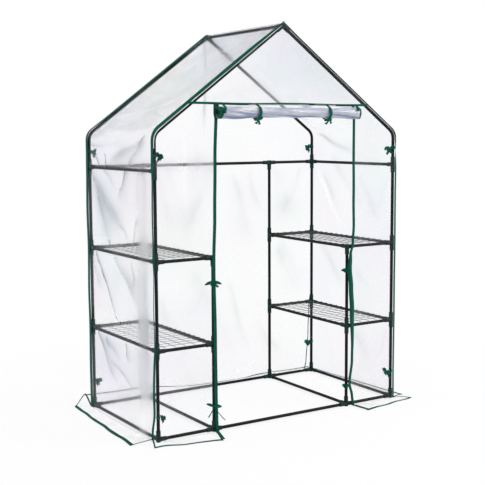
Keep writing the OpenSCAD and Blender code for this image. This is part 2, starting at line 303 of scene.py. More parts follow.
def ripple(p, q, seed, size, stretch=1.0, count=6):
    """Swells of about unit height and about size apart, drawn out along q by stretch."""
    rng = np.random.default_rng(seed)
    total = np.zeros(np.broadcast(p, q).shape)
    for _ in range(count):
        heading, phase = rng.uniform(0, math.pi), rng.uniform(0, 2 * math.pi)
        length = size * rng.uniform(0.7, 1.5)
        along = p * math.cos(heading) + q / stretch * math.sin(heading)
        total += np.sin(2 * math.pi * along / length + phase)
    return total / math.sqrt(count)


def creases(p, q, folds, narrow=1.0):
    """Height of a sheet with folds, each from one point to another with a width and a height.
    A fold falls away sharply on one side of its line, on the other one with a width below zero, and
    fades and widens towards its far end."""
    total = np.zeros(np.broadcast(p, q).shape)
    for (p0, q0), (p1, q1), width, height in folds:
        run = math.hypot(p1 - p0, q1 - q0)
        along = ((p - p0) * (p1 - p0) + (q - q0) * (q1 - q0)) / run ** 2
        off = ((p - p0) * (q1 - q0) - (q - q0) * (p1 - p0)) / run
        off = math.copysign(1, width) * (off + 0.006 * np.sin(9 * along + 40 * p0 + 17 * q1))
        spread = narrow * abs(width) * (0.45 + 0.8 * np.clip(along, 0, 1)) * np.where(off > 0, 1.0, 0.45)
        fade = ease(along / 0.12) * ease((1 - along) / 0.45)
        total += height * fade * np.exp(0.35 - np.sqrt(off ** 2 + (0.35 * spread) ** 2) / spread)
    return total


def fold_marks(p, q, folds):
    """How sharply a sheet is creased, from 0 to about 1, for its haze and its painted shade along the
    folds, and below zero for a painted highlight.
    """
    return 62 * creases(p, q, folds, 1.5) * (0.8 + 0.3 * ripple(p, q, 99, 0.25))


def cover_line(run):
    """Left half of the cover's outline at lengths up from the ground: x and z, and the outward
    direction."""
    run = np.asarray(run, float)
    turn = np.clip((run - WALL_TOP) / EAVE_R, 0, TURN)
    past = np.clip(run - EAVE_RUN, 0, None)
    nx, nz = -np.cos(turn), np.sin(turn)
    x = EAVE_R * (1 + nx) - WALL_X + past * math.cos(SLOPE)
    z = np.minimum(run, WALL_TOP) + EAVE_R * nz + past * math.sin(SLOPE)
    return x, z, nx, nz


# How far each seam along an edge of the cover stands out from the tube's line, at lengths up from the
# ground
SEAM_KEYS = {
    (LEFT, FRONT): [(0, 0.020), (0.05, 0.018), (0.14, 0.007), (0.24, 0.008), (0.43, 0.003), (0.62, 0.007),
                    (0.84, 0.003), (1.05, 0.005), (1.26, 0.003), (1.4, 0.001), (1.5, 0.001),
                    (COVER_RUN - 0.1, 0.0)],
    (LEFT, BACK): [(0, 0.003), (0.22, 0.004), (0.43, 0.002), (0.62, 0.004), (0.84, 0.001), (1.04, 0.004),
                   (1.26, 0.001), (1.33, 0.0), (1.45, 0.0), (1.55, -0.002), (COVER_RUN, 0.0)],
    (RIGHT, FRONT): [(0, -0.002), (0.2, -0.003), (0.43, -0.002), (0.66, -0.003), (0.84, -0.002),
                     (1.1, -0.003), (1.26, -0.002), (COVER_RUN - 0.1, -0.002), (COVER_RUN, 0.0)],
    (RIGHT, BACK): [(0, 0.003), (0.24, 0.010), (0.43, 0.002), (0.7, 0.003), (0.84, 0.002), (1.0, 0.006),
                    (1.26, 0.003), (1.45, 0.0)],
}

# How far the binding of each seam lies over towards the middle of the cover, in degrees
BINDING_TILTS = {
    (LEFT, FRONT): [(0, -20), (0.36, -22), (0.48, -46), (0.78, -46), (0.86, -28), (0.95, -44), (1.2, -44),
                    (1.3, -24), (1.5, 0), (COVER_RUN - 0.35, -6), (COVER_RUN, -50)],
    (LEFT, BACK): [(0, 87), (1.3, 87), (1.42, 84), (1.55, 90)],
    (RIGHT, FRONT): [(0, 14), (1.22, 14), (1.45, 88)],
    (RIGHT, BACK): [(0, -70), (COVER_RUN, -66)],
}

# How far the bindings at the right hang in from their seams
LOOSE = {
    FRONT: [(0, 0.006), (1.25, 0.006), (1.45, 0.0)],
    BACK: [(0, 0.055), (0.06, 0.042), (0.25, 0.034), (0.40, 0.022), (0.52, 0.0)],
}


def seam_line(run, side, end):
    """Points along the bound seam of an edge of the cover."""
    x, z, nx, nz = cover_line(run)
    out = through(SEAM_KEYS[side, end], run)
    return -side * (x + out * nx), np.full_like(run, end * END_Y), z + out * nz


# Half the width of the seam over the doorway
SEAM_HALF = -float(seam_line(np.array([SEAM_RUN]), LEFT, FRONT)[0][0])


# The doorway's edges, which the zip tapes follow, as heights and places across the front
DOOR_KEYS = {
    LEFT: [(0, -0.397), (0.2, -0.400), (0.43, -0.404), (0.84, -0.407), (1.05, -0.402), (1.3, -0.396),
           (SEAM_Z, -0.389)],
    RIGHT: [(0, 0.434), (0.05, 0.430), (0.127, 0.411), (0.25, 0.427), (0.34, 0.430), (0.51, 0.425),
            (0.63, 0.416), (0.73, 0.406), (0.80, 0.413), (0.86, 0.428), (0.95, 0.434), (1.1, 0.430),
            (1.28, 0.427), (1.5, 0.430), (SEAM_Z, 0.424)],
}

# Outer corners of the flaps on the ground, with the ends of the walls' edges that they hang from
FLAPS = {
    "left_flap": ((-0.714, 0.450), (-WALL_X - 0.018, -END_Y), (-0.792, 0.412), (-0.842, -0.340)),
    "right_flap": ((WALL_X, -END_Y), (WALL_X, END_Y), (0.800, -0.350), (0.768, 0.388)),
    "back_flap": ((WALL_X, END_Y), (-WALL_X, END_Y), (0.752, 0.462), (-0.716, 0.456)),
    "front_left_flap": ((-WALL_X - 0.028, -END_Y), (DOOR_KEYS[LEFT][0][1], -END_Y),
                        (-0.764, -0.430), (-0.441, -0.504)),
    "front_right_flap": ((DOOR_KEYS[RIGHT][0][1], -END_Y), (WALL_X, -END_Y),
                         (0.445, -0.487), (0.797, -0.424)),
}

# How far the outer edge of a flap stands up, and how far the corners at the wall do, at the two ends
RISES = {"back_flap": (0.0, 0.050)}
LIFTS = {"left_flap": (0.050, 0.020), "front_left_flap": (0.020, 0.0)}

# Folds of the sheets, each from one point to another, with its width and its height. Those of the sides are
# given by the depth and the length up the cover, and those of the ends by x and z. The grey that folds give
# the film is painted shade, and folds with a height below zero, which dent the sheet and clear the film
# along them, are painted highlights.
SIDE_FOLDS = {
    LEFT: [
        ((0.34, 1.288), (-0.12, 0.93), -0.045, 0.017), ((0.21, 1.15), (0.06, 0.85), -0.028, 0.010),
        ((0.16, 1.262), (-0.01, 1.15), 0.012, 0.008), ((-0.31, 1.42), (-0.08, 1.22), 0.022, 0.013),
        ((-0.13, 1.275), (0.0, 1.08), 0.026, 0.015), ((-0.32, 1.408), (0.14, 1.275), 0.022, 0.012),
        ((0.34, 1.418), (0.02, 1.405), 0.012, 0.006), ((0.33, 1.366), (-0.14, 1.372), 0.010, 0.007),
        ((0.12, 1.345), (0.126, 1.23), 0.008, 0.010), ((0.28, 1.34), (0.15, 1.24), 0.008, 0.012),
        ((-0.218, 1.05), (-0.13, 0.84), 0.008, 0.009), ((-0.03, 1.0), (-0.16, 0.89), 0.007, 0.007),
        ((0.27, 0.86), (-0.02, 0.48), 0.010, 0.015), ((0.07, 0.86), (-0.27, 0.57), 0.034, 0.009),
        ((-0.156, 0.845), (-0.164, 0.68), 0.007, 0.008), ((0.31, 0.85), (0.18, 0.60), 0.030, 0.007),
        ((0.27, 0.44), (0.01, 0.19), 0.022, 0.012), ((0.17, 0.41), (-0.04, 0.31), 0.018, 0.011),
        ((-0.068, 0.425), (-0.104, 0.31), 0.012, 0.011), ((0.10, 0.31), (-0.18, 0.20), 0.008, 0.009),
        ((0.30, 1.56), (-0.26, 1.72), 0.050, 0.004), ((-0.34, 1.52), (0.10, 1.66), 0.040, 0.004),
    ],
    RIGHT: [
        ((0.33, 1.42), (-0.06, 1.29), 0.012, 0.011), ((0.20, 1.30), (-0.10, 0.98), 0.030, 0.006),
        ((0.30, 1.22), (0.08, 0.88), 0.024, 0.006), ((-0.05, 1.20), (-0.24, 0.92), 0.026, 0.005),
        ((0.32, 0.80), (0.02, 0.50), 0.030, 0.005), ((0.10, 0.40), (-0.20, 0.12), 0.030, 0.005),
        ((0.34, 1.22), (0.06, 0.84), 0.012, -0.010),
    ],
}
BACK_FOLDS = [
    ((-0.002, 1.94), (-0.006, 1.36), 0.009, 0.016), ((-0.024, 1.90), (-0.030, 1.50), 0.014, -0.008),
    ((0.06, 1.30), (-0.24, 0.62), 0.050, 0.006),
    ((-0.30, 1.24), (-0.18, 0.60), 0.045, 0.005), ((0.16, 1.22), (0.34, 0.70), 0.040, 0.005),
    ((-0.10, 0.70), (0.22, 0.10), 0.050, 0.005), ((-0.34, 0.60), (-0.12, 0.08), 0.045, 0.005),
    ((0.66, 1.24), (0.48, 0.90), 0.030, 0.005), ((0.46, 0.78), (0.64, 0.46), 0.030, 0.004),
    ((-0.56, 1.22), (-0.62, 0.74), 0.040, 0.005), ((-0.52, 0.74), (-0.64, 0.30), 0.040, 0.005),
    ((0.30, 0.36), (0.56, 0.08), 0.030, 0.004), ((0.10, 1.80), (0.34, 1.46), 0.040, 0.003),
    ((0.42, 1.24), (0.70, 0.86), 0.080, 0.005), ((0.50, 0.82), (0.68, 0.46), 0.050, 0.004),
    ((0.13, 0.62), (0.30, 0.08), 0.020, 0.006), ((0.27, 1.24), (0.38, 0.90), 0.016, 0.005),
]
FRONT_FOLDS = {
    LEFT: [((-0.565, 1.44), (-0.545, 0.96), 0.014, -0.008), ((-0.66, 1.30), (-0.52, 0.88), 0.035, 0.003),
           ((-0.46, 1.36), (-0.60, 1.02), 0.035, 0.003),
           ((-0.43, 0.72), (-0.62, 0.50), 0.030, 0.003), ((-0.68, 0.16), (-0.52, 0.36), 0.026, 0.003)],
    RIGHT: [((0.69, 1.30), (0.56, 0.92), 0.034, 0.004), ((0.50, 1.46), (0.62, 1.18), 0.030, 0.003),
            ((0.45, 0.72), (0.62, 0.52), 0.028, 0.004), ((0.68, 0.40), (0.52, 0.12), 0.026, 0.004)],
}
GABLE_FOLDS = [
    ((0.02, 1.90), (-0.10, 1.62), 0.040, 0.002), ((0.05, 1.86), (0.20, 1.60), 0.040, 0.002),
    ((-0.44, 1.585), (-0.10, 1.66), 0.024, 0.002), ((0.44, 1.585), (0.12, 1.64), 0.024, 0.002),
]


def add_node(tree, kind, sockets=None, links=None, **settings):
    """Adds a shader node with its settings, its sockets' values and what is linked to them: an output
    of another node, or a node whose first output in use is meant."""
    node = tree.nodes.new("ShaderNode" + kind)
    for name, value in settings.items():
        setattr(node, name, value)
    for name, value in (sockets or {}).items():
        node.inputs[name].default_value = value
    for name, source in (links or {}).items():
        if isinstance(source, bpy.types.Node):
            source = next(output for output in source.outputs if output.enabled)
        tree.links.new(source, node.inputs[name])
    return node


def blank(owner):
    """Clears a new material or world, and gives the function that adds its nodes."""
    owner.use_nodes = True
    owner.node_tree.nodes.clear()
    return functools.partial(add_node, owner.node_tree)


def node_material(name):
    """Makes a material of a function that adds its nodes and gives its surface. Each name is made once."""
    def wrap(build):
        @functools.wraps(build)
        def make(settings, name=name, *more, **named):
            material = bpy.data.materials.get(name)
            if not material:
                material = bpy.data.materials.new(name)
                add = blank(material)
                add("OutputMaterial", links={"Surface": build(add, settings, *more, **named)})
            return material

        return make

    return wrap


@node_material("satin_coated_steel_tube")
def coated_steel(add, settings):
    """Thin steel tube under a sprayed plastic coat: satin, faintly pebbled, and rubbed paler in places."""
    place = add("TexCoord").outputs["Object"]
    # The coat's pebbles are about 2 mm across, and the rubbed marks come about every 40 mm
    pebble = add("TexNoise", {"Scale": 500.0, "Detail": 2.0}, {"Vector": place})
    rub = add("TexNoise", {"Scale": 25.0, "Detail": 8.0, "Roughness": 0.75}, {"Vector": place})
    worn = add("MapRange", {"From Min": 0.66, "From Max": 0.78}, {"Value": rub})
    colour = add("Mix", {6: (*settings.tube_colour, 1), 7: (*linear("#434B49"), 1)}, {0: worn},
                 data_type="RGBA")
    rough = add("MapRange", {"To Min": 0.34, "To Max": 0.5}, {"Value": rub})
    bump = add("Bump", {"Strength": 0.12, "Distance": 0.0004}, {"Height": pebble})
    return add("BsdfPrincipled", {"IOR": 1.5, "Specular IOR Level": 0.12},
               {"Base Color": colour, "Roughness": rough, "Normal": bump})


@node_material("dipped_steel_wire")
def coated_wire(add, settings):
    """Welded steel wire dipped in dark plastic: a soft sheen, thicker and duller in patches."""
    place = add("TexCoord").outputs["Object"]
    # The dip runs into patches about 12 mm long
    patch = add("TexNoise", {"Scale": 80.0, "Detail": 4.0}, {"Vector": place})
    colour = add("Mix", {6: (*settings.wire_colour, 1), 7: (*linear("#343B3C"), 1)}, {0: patch},
                 data_type="RGBA")
    rough = add("MapRange", {"To Min": 0.3, "To Max": 0.55}, {"Value": patch})
    return add("BsdfPrincipled", {"IOR": 1.5}, {"Base Color": colour, "Roughness": rough})


@node_material("moulded_polypropylene")
def moulded_plastic(add, settings):
    """Injection-moulded polypropylene: a spark-eroded grain, slightly cloudy colour and a dull sheen."""
    place = add("TexCoord").outputs["Object"]
    # The grain of the mould is about 0.8 mm, and the cloudiness about 15 mm
    grain = add("TexNoise", {"Scale": 1250.0, "Detail": 3.0}, {"Vector": place})
    cloud = add("TexNoise", {"Scale": 65.0, "Detail": 3.0}, {"Vector": place})
    colour = add("Mix", {6: (*settings.connector_colour, 1), 7: (*linear("#1D3833"), 1)}, {0: cloud},
                 data_type="RGBA")
    bump = add("Bump", {"Strength": 0.25, "Distance": 0.0003}, {"Height": grain})
    rough = add("MapRange", {"To Min": 0.42, "To Max": 0.58}, {"Value": grain})
    return add("BsdfPrincipled", {"IOR": 1.49, "Specular IOR Level": 0.15},
               {"Base Color": colour, "Roughness": rough, "Normal": bump})


@node_material("clear_vinyl_film")
def clear_film(add, settings, haze=0.0, passing=0.97, gloss=0.05, pale=None, shade=None, slant=1.0):
    """Calendered vinyl film: what touches it from behind stays sharp and what is further off blurs. It
    greys to lilac at a slant, and along its folds it is cloudier and tinted grey, which is painted shade;
    where its crease mark is below zero it is clearer, a painted highlight. It has a soft gloss. haze is
    added to that of the settings, passing is the share of the scattered light that still comes through,
    pale and shade replace the colour of the film and of its painted shade, and slant is the share of the
    haze at a slant."""
    place = add("TexCoord").outputs["Object"]
    fold_and_shade, milk = (add("Attribute", attribute_name=word).outputs["Fac"] for word in ("fold_and_shade", "milk"))
    # The haze is uneven, in clouds about 250 mm across
    cloud = add("TexNoise", {"Scale": 4.0, "Detail": 2.0, "Distortion": 0.4}, {"Vector": place})
    patchy = add("MapRange", {"From Min": 0.3, "From Max": 0.7, "To Min": -0.07, "To Max": 0.07},
                 {"Value": cloud})
    facing = add("LayerWeight", {"Blend": 0.5}).outputs["Facing"]
    steep = add("Math", {1: 1.5}, {0: facing}, operation="POWER")
    base = add("Math", {1: settings.edge_haze * slant, 2: settings.haze + haze}, {0: steep},
               operation="MULTIPLY_ADD")
    creased = add("Math", {1: 0.8}, {0: fold_and_shade, 2: base}, operation="MULTIPLY_ADD")
    milky = add("Math", {}, {0: creased, 1: milk}, operation="ADD")
    cover = add("Math", {}, {0: milky, 1: patchy}, operation="ADD", use_clamp=True)
    # It shimmers faintly pink, yellow and blue, in patches about 400 mm across
    shimmer = add("TexNoise", {"Scale": 2.5, "Detail": 1.0}, {"Vector": place}).outputs["Color"]
    hue = add("Mix", {0: 0.8, 6: (*(pale or settings.colour), 1)}, {7: shimmer}, data_type="RGBA",
              blend_type="SOFT_LIGHT")
    white = add("Mix", {7: (*linear("#FBFBFD"), 1)}, {0: milk, 6: hue}, data_type="RGBA")
    # The film is tinted towards the grey by the attribute that marks its folds: painted shade along the
    # folds, up the roof and at the rolled door's lower front
    tint = add("Mix", {7: (*(shade or settings.fold_shade_colour), 1)}, {0: fold_and_shade, 6: white}, data_type="RGBA")
    # Grains much finer than a pixel bend the view a few degrees either way, so it blurs with distance
    grain = add("TexWhiteNoise", {}, {"Vector": place})
    most = add("Math", {1: 0.4, 2: 1 + settings.spread}, {0: milk}, operation="MULTIPLY_ADD")
    bend = add("MapRange", {"To Min": 1 - settings.spread}, {"Value": grain, "To Max": most})
    skin = add("BsdfPrincipled",
               {"Roughness": 0.85, "Transmission Weight": passing, "Coat Weight": gloss,
                "Coat Roughness": 0.16, "IOR": 1.0},
               {"Base Color": tint, "IOR": bend})
    return add("MixShader", {}, {0: cover, 1: add("BsdfTransparent"), 2: skin})


@node_material("woven_green_tape")
def woven_tape(add, settings):
    """Woven polypropylene tape, folded and stitched: fine cross ribs and an uneven dye."""
    where = add("UVMap").outputs["UV"]
    place = add("TexCoord").outputs["Object"]
    # Cross ribs 1.6 mm apart, drawn twice as coarse as the real weave so that they show
    ribs = add("TexWave", {"Scale": 0.314 / 0.0016, "Distortion": 0.6, "Detail": 1.0}, {"Vector": where},
               bands_direction="Y").outputs["Fac"]
    # The dye is uneven over about 30 mm
    dye = add("TexNoise", {"Scale": 33.0, "Detail": 5.0}, {"Vector": place})
    colour = add("Mix", {6: (*settings.colour, 1), 7: (*linear("#06624E"), 1)}, {0: dye}, data_type="RGBA")
    shade = add("MapRange", {"To Min": 0.78, "To Max": 1.06}, {"Value": ribs})
    ribbed = add("Mix", {0: 1.0}, {6: colour, 7: shade}, data_type="RGBA", blend_type="MULTIPLY")
    bump = add("Bump", {"Strength": 0.5, "Distance": 0.0005}, {"Height": ribs})
    return add("BsdfPrincipled", {"Roughness": 0.7, "IOR": 1.4, "Specular IOR Level": 0.15},
               {"Base Color": ribbed, "Normal": bump})


def give(piece, material):
    """Makes this the only material of a piece."""
    piece.data.materials.clear()
    piece.data.materials.append(material)


def dress_nodes(slot, material):
    """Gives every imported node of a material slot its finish."""
    names = [part["node"] for part in frame["record"]["subparts"] if part["material_slot"] == slot]
    if not names:
        raise RuntimeError(f"the packed record has no node in {slot}")
    for name in names:
        give(frame["nodes"][name], material)


def settle(piece, material, slot, *nodes):
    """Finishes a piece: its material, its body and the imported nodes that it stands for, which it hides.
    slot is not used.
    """
    give(piece, material)
    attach(piece, "root")
    if nodes:
        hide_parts(*nodes)
    return piece


def sew(trim, name, tapes, *nodes):
    """Makes one piece of green trim of some tapes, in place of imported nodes."""
    return settle(join(name, tapes), woven_tape(trim), "green_trim", *nodes)


class GREENHOUSE_OT_coat_tubes(bpy.types.Operator):
    """Coat the tubes of the frame"""
    bl_idname = "greenhouse.coat_tubes"
    bl_label = "Coat tubes"

    def execute(self, context):
        dress_nodes("coated_steel", coated_steel(context.scene.greenhouse_frame))
        return {"FINISHED"}


class GREENHOUSE_OT_dip_wires(bpy.types.Operator):
    """Coat the wires of the shelves"""
    bl_idname = "greenhouse.dip_wires"
    bl_label = "Dip shelf wires"

    def execute(self, context):
        dress_nodes("shelf_wire", coated_wire(context.scene.greenhouse_frame))
        return {"FINISHED"}


class GREENHOUSE_OT_mould_connectors(bpy.types.Operator):
    """Give the connectors their moulded finish"""
    bl_idname = "greenhouse.mould_connectors"
    bl_label = "Mould connectors"

    def execute(self, context):
        dress_nodes("connector_plastic", moulded_plastic(context.scene.greenhouse_frame))
        return {"FINISHED"}


def sheet_folds(film, p, q, folds, swell, seed, size, stretch=1.0):
    """Height of a sheet with its folds, and with swells of that height, size and stretch."""
    return creases(p, q, folds) * film.slack / FOLD_SLACK + swell * ripple(p, q, seed, size, stretch)


def nearest(place, lines):
    """How far the nearest of some lines is."""
    return np.min([np.abs(place - line) for line in lines], axis=0)


def off_tubes(height, near, depth, reach=0.09):
    """A sheet's height, with less room to hang in where a tube is near, and up to depth between them."""
    return np.maximum(height, -0.002 - depth * ease((near - 0.012) / reach))


def hang_side(film, side, word):
    """Hangs the sheet of a side."""
    def place(u, v):
        y, run = END_Y * (2 * u - 1), v * COVER_RUN
        x, z, nx, nz = cover_line(run)
        edges = through(SEAM_KEYS[side, FRONT], run) * (1 - u) + through(SEAM_KEYS[side, BACK], run) * u
        inside = ease((END_Y - np.abs(y)) / 0.05) * ease((COVER_RUN - run) / 0.08) * ease(run / 0.05)
        sag = film.roof_sag * ease((run - WALL_TOP) / 0.3) * ease((COVER_RUN - run) / 0.3)
        lift = sheet_folds(film, y, run, SIDE_FOLDS[side], 0.003, 50 + side, 0.30, 1.6)
        lift = lift - sag * (1 - (y / END_Y) ** 2)
        lift = edges + inside * off_tubes(lift, nearest(run, LEVELS + [COVER_RUN]), 0.018)
        where = -side * (x + lift * nx), y, z + lift * nz + FLOOR_GAP
        # Each side is greyed evenly, and more up the roof and towards its front, where the grey is painted
        # shade
        grey_and_shade = 0.09 if side == LEFT else 0.17
        grey_and_shade = grey_and_shade + 0.24 * ease((run - EAVE_RUN - 0.1) / 0.4) * np.clip(1.3 - 1.4 * u, 0, 2)
        marks = inside * fold_marks(y, run, SIDE_FOLDS[side]) + grey_and_shade
        if side == RIGHT:
            return *where, marks
        # The left wall is cloudy beside its front edge, clear over the shelves and grey at its foot
        veil = np.exp(-((y + 0.262) / 0.05) ** 2) * ease((1.30 - run) / 0.1)
        shelves = ease((0.55 - run) / 0.02) * ease((run - 0.43) / 0.02)
        shelves = shelves + ease((0.92 - run) / 0.02) * ease((run - 0.845) / 0.015)
        marks = marks + 0.18 * ease((0.42 - run) / 0.03) * ease((run - 0.15) / 0.12)
        marks = marks + veil * (0.3 * ease((0.84 - run) / 0.1) * ease((run - 0.25) / 0.2) - 0.06)
        milk = 0.75 * veil - 0.32 * shelves * (1 - veil)
        return *where, marks, milk

    size = 2 * END_Y, COVER_RUN
    columns, rows = (round(length / film.mesh_step) for length in size)
    sheet = mapped_grid(f"{word}_wall_and_roof_sheet", columns, rows, place, (side, 0, 0.3), size)
    settle(sheet, clear_film(film), "clear_film",
           f"{word}_wall_film", f"{word}_roof_film", "eave_films")


class GREENHOUSE_OT_hang_side_films(bpy.types.Operator):
    """Hang the sheet of each side, up the wall, round the eaves and over the roof to the ridge"""
    bl_idname = "greenhouse.hang_side_films"
    bl_label = "Hang side films"

    def execute(self, context):
        film = context.scene.greenhouse_film
        for side, word in ((LEFT, "left"), (RIGHT, "right")):
            hang_side(film, side, word)
        return {"FINISHED"}


def end_sheet(film, name, node, end, folds, place, width, length, grey_and_shade=0.0):
    """A sheet of an end of the cover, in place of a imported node. place(u, v) gives its x and z, how far
    it stands out and how milky it is. width and length are its size for the mesh."""
    def stand(u, v):
        x, z, out, milk = place(u, v)
        return x, end * (END_Y + out), z + FLOOR_GAP, fold_marks(x, z, folds) + grey_and_shade, milk

    columns, rows = round(width / film.mesh_step), round(length / film.mesh_step)
    sheet = mapped_grid(name, columns, rows, stand, (0, end, 0))
    in_edit_mode(sheet, (bpy.ops.mesh.remove_doubles, {"threshold": MERGE}))
    return settle(sheet, clear_film(film), "clear_film", node)


class GREENHOUSE_OT_hang_back_film(bpy.types.Operator):
    """Hang the sheet of the back wall"""
    bl_idname = "greenhouse.hang_back_film"
    bl_label = "Hang back film"

    def execute(self, context):
        film = context.scene.greenhouse_film

        def place(u, v):
            run = v * COVER_RUN
            left, _, z = seam_line(run, LEFT, BACK)
            right, _, _ = seam_line(run, RIGHT, BACK)
            x = left + u * (right - left)
            inside = ease(np.minimum(u, 1 - u) * (right - left) / 0.06) * ease(run / 0.05)
            folds = sheet_folds(film, x, z, BACK_FOLDS, 0.004, 71, 0.34, 1.5)
            posts = np.where(z < LEVELS[-1], np.abs(np.abs(x) - INNER_X), 1.0)
            near = np.minimum(nearest(z, LEVELS), posts)
            return x, z, inside * off_tubes(folds, near, 0.020), 0 * x

        sheet = end_sheet(film, "back_wall_sheet", "back_wall_film", BACK, BACK_FOLDS, place, 2 * WALL_X,
                          COVER_RUN, 0.06)
        return {"FINISHED"}


def hang_gable(film):
    """Hangs the gable over the doorway."""
    def place(u, v):
        run = SEAM_RUN + v * (COVER_RUN - SEAM_RUN)
        left, _, z = seam_line(run, LEFT, FRONT)
        x = left * (1 - 2 * u)
        inside = ease(np.minimum(u, 1 - u) * -2 * left / 0.06) * ease((z - SEAM_Z) / 0.03)
        folds = sheet_folds(film, x, z, GABLE_FOLDS, 0.003, 72, 0.3)
        # It is cloudier towards the seam
        return x, z, inside * folds, 0.22 * ease((x - left) / 0.2) * ease((1.80 - z) / 0.2)

    sheet = end_sheet(film, "front_gable_sheet", "front_gable_film", FRONT, GABLE_FOLDS, place,
                      2 * SEAM_HALF, COVER_RUN - SEAM_RUN)


def hang_panel(film, side, word):
    """Hangs the panel between a front corner and the doorway."""
    def place(u, v):
        edge, _, z = seam_line(v * SEAM_RUN, side, FRONT)
        x = edge + u * (through(DOOR_KEYS[side], z) - edge)
        inside = ease(np.minimum(u, 1.02 - u) * np.abs(edge - side * DOOR_X) / 0.05) * ease(z / 0.05)
        inside = inside * ease((SEAM_Z - z) / 0.03)
        folds = sheet_folds(film, x, z, FRONT_FOLDS[side], 0.0025, 80 + side, 0.22, 2.2)
        # The left panel is cloudy at the height where the rail at the back shows through it
        milk = 0.34 * np.exp(-((z - 1.284) / 0.035) ** 2) * (side == LEFT)
        return x, z, inside * off_tubes(folds, nearest(z, LEVELS[:3]), 0.012, 0.08), milk

    width = WALL_X - DOOR_X
    sheet = end_sheet(film, f"front_{word}_sheet", f"front_{word}_film", FRONT, FRONT_FOLDS[side],
                      place, width, SEAM_RUN)


class GREENHOUSE_OT_hang_front_films(bpy.types.Operator):
    """Hang the gable over the doorway, and the panel on each side of it"""
    bl_idname = "greenhouse.hang_front_films"
    bl_label = "Hang front films"

    def execute(self, context):
        film = context.scene.greenhouse_film
        hang_gable(film)
        for side, word in ((LEFT, "left"), (RIGHT, "right")):
            hang_panel(film, side, word)
        return {"FINISHED"}


def flap_place(name):
    """Where the points of a flap lie: u along the wall, v out from it."""
    a, b, a_out, b_out = (np.array(p)[:, None] for p in FLAPS[name])
    seed = 90 + sorted(FLAPS).index(name)
    low, high = RISES.get(name, (0.0, 0.0))
    first, last = LIFTS.get(name, (0.0, 0.0))

    def place(u, v):
        inner = a * (1 - u) + b * u
        out = a_out * (1 - u) + b_out * u - inner
        # The back flap is tucked in behind the doorway
        tuck = (name == "back_flap") * 0.55 * ease((u - 0.22) / 0.14) * ease((0.74 - u) / 0.14)
        sway = 0.006 * v * ripple(u * 3, 0 * v, seed + 20, 1.2)
        x, y = inner + v * (1 - tuck) * out + sway * out / np.hypot(*out)
        waves = ripple(x, y, seed, 0.16, 1.0, 5)
        rise = (low + (high - low) * u ** 2 + 0.06 * high * ripple(3 * u, 0 * v, seed + 40, 1.0)) * ease(v)
        lift = 0.0012 + 0.006 * ease(v / 0.2) * ease((1.15 - v) / 0.5) * np.clip(0.35 + 0.5 * waves, 0, 1.2)
        corners = (first * ease(1 - u / 0.16) + last * ease(1 - (1 - u) / 0.16)) * ease(1 - v)
        return x, y, lift + rise + corners

    return place


def hem_flap(trim, name, place, long, deep):
    """Tape folded over the three free edges of a flap."""
    share_v, share_u = trim.hem_width / deep, trim.hem_width / long
    tip = 0.004 if name == "left_flap" else 0.0
    sides = {
        "outer": lambda u, v: place(v, 1.003 - share_v * (1 - u)),
        "near": lambda u, v: place(0.6 * share_u * (1 - u) - 0.003, v),
        "far": lambda u, v: place(1.003 - 0.6 * share_u * (1 - u), v),
    }
    tapes = []
    for word, line in sides.items():
        def curl(u, v, line=line, word=word):
            x, y, z = line(u, v)
            return x, y, z + tip * (1 - u) * (word == "outer")

        length = long if word == "outer" else deep
        size = trim.hem_width, length
        tape = mapped_grid(word, 2, round(length / TAPE_STEP), curl, (0, 0, 1), size)
        apply_modifier(tape, "SOLIDIFY", thickness=trim.thickness, offset=0.0)
        tapes.append(tape)
    return sew(trim, f"{name}_hem", tapes)


class GREENHOUSE_OT_lay_flaps(bpy.types.Operator):
    """Lay the flaps on the ground, with their hems"""
    bl_idname = "greenhouse.lay_flaps"
    bl_label = "Lay ground flaps"

    def execute(self, context):
        film, trim = context.scene.greenhouse_film, context.scene.greenhouse_trim
        for name, (a, b, a_out, b_out) in FLAPS.items():
            place = flap_place(name)
            long, long_out = math.dist(a, b), math.dist(a_out, b_out)
            ends = math.dist(a, a_out), math.dist(b, b_out)
            deep = sum(ends) / 2
            flap = mapped_grid(name, round(long / film.mesh_step), round(deep / film.mesh_step), place,
                               (0, 0, 1))
            laid = clear_film(film, "laid_vinyl_film", -0.05, slant=0.18)
            settle(flap, laid, "clear_film", "ground_skirts")
            hem = hem_flap(trim, name, place, long, deep)
        return {"FINISHED"}


def highlight_strip():
    """A white strip of film beside the binding at the front left: a painted highlight, where the film
    shines as it wraps round the tube.
    """
    start, gap = 1.36, 0.02

    def lie(v):
        """Length up the cover, and the outward direction there."""
        run = start + v * (COVER_RUN - start - gap)
        return run, *cover_line(run)[2:]

    def path(v):
        run, nx, nz = lie(v)
        x, y, z = seam_line(run, LEFT, FRONT)
        return x - 0.003 * nx, y - 0.0028 - 0.0004 * np.sin(40 * run), z - 0.003 * nz

    def across(v):
        run, nx, nz = lie(v)
        broad = 0.85 - 0.35 * v + 0.2 * np.sin(9 * run) * np.sin(23 * run + 1)
        return broad * nx, 0, broad * nz

    return strip("front_left_film_highlight", 80, path, across, 0.0036, 0.0010)


